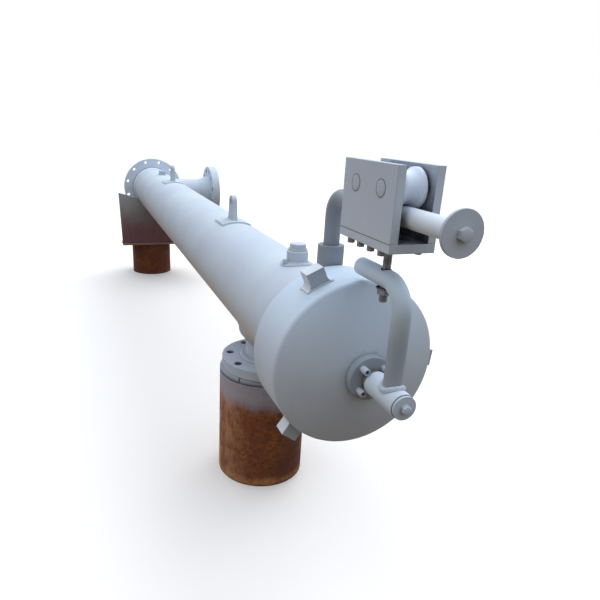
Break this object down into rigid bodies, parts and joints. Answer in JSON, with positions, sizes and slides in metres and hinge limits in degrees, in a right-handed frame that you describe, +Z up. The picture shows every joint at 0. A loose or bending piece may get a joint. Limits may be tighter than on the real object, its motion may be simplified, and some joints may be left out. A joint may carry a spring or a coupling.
{
  "type": "pipeline pig launcher",
  "caption": "Flanged pig launcher barrel on pipe pedestals, with a screwed end cap hung from a davit trolley that draws it off along a round rail.",
  "frame": {"origin": "on the ground, at the middle of the launcher's box", "axes": "+Y along the barrel towards its outlet flange, +Z up, +X towards the side nozzle"},
  "size_m": [0.77, 4.2154, 1.2071],
  "materials": {
    "grey_paint": "satin light blue-grey paint",
    "machined_steel": "turned and greased",
    "dark_steel": "bare, darkened",
    "roller_steel": "turned, paint misted",
    "rusty_pipe": "rusted pipe offcut with paint overspray",
    "rusty_plate": "rusted plate with paint overspray"
  },
  "bodies": {
    "vessel": {"barrel": "grey_paint", "closure_hub": "machined_steel", "outlet_flange": "grey_paint", "side_nozzle": "grey_paint", "side_nozzle_flange": "grey_paint", "drain_nozzle": "grey_paint", "drain_flange": "grey_paint", "vent_pad": "grey_paint", "vent_boss": "grey_paint", "vent_plug": "grey_paint", "mid_lug_pad": "grey_paint", "mid_lifting_lug": "grey_paint", "far_lug_pad": "grey_paint", "far_lifting_lug": "grey_paint", "signal_boss": "grey_paint", "davit_socket": "grey_paint", "davit_tube": "grey_paint", "rail_stop": "grey_paint", "packing_ring": "grey_paint", "near_pedestal": "rusty_pipe", "far_pedestal": "rusty_pipe", "saddle_web": "rusty_plate", "saddle_base_plate": "rusty_plate"},
    "trolley": {"trolley_left_plate": "grey_paint", "trolley_right_plate": "grey_paint", "trolley_base_plate": "grey_paint", "front_axle": "grey_paint", "rear_axle": "grey_paint", "hanger_rod": "dark_steel", "hanger_nuts": "dark_steel", "swing_arm": "grey_paint", "bearing_sleeve": "grey_paint"},
    "front_roller": {"front_roller": "roller_steel"},
    "rear_roller": {"rear_roller": "roller_steel"},
    "cap": {"closure_cap": "grey_paint", "hammer_lug_1": "grey_paint", "hammer_lug_2": "grey_paint", "hammer_lug_3": "grey_paint", "hub_flange": "grey_paint", "pivot_shaft": "machined_steel", "sleeve_end_cap": "grey_paint"}
  },
  "joints": [
    {"name": "trolley_slide", "type": "slide", "parent": "vessel", "child": "trolley", "axis": [0, -1, 0], "range_m": [0, 0.13]},
    {"name": "cap_turn", "type": "hinge", "parent": "trolley", "child": "cap", "pos_m": [-0.07698, -1.79272, 0.711], "axis": [0, 1, 0], "continuous": true},
    {"name": "front_roller_turn", "type": "hinge", "parent": "trolley", "child": "front_roller", "pos_m": [-0.07698, -1.90572, 1.15815], "axis": [1, 0, 0], "range_deg": [0, 230]},
    {"name": "rear_roller_turn", "type": "hinge", "parent": "trolley", "child": "rear_roller", "pos_m": [-0.07698, -1.79973, 1.15815], "axis": [1, 0, 0], "range_deg": [0, 230]}
  ],
  "couplings": [
    {"joint": "front_roller_turn", "follows": "trolley_slide", "rad_per_m": 30.488},
    {"joint": "rear_roller_turn", "follows": "trolley_slide", "rad_per_m": 30.488}
  ]
}
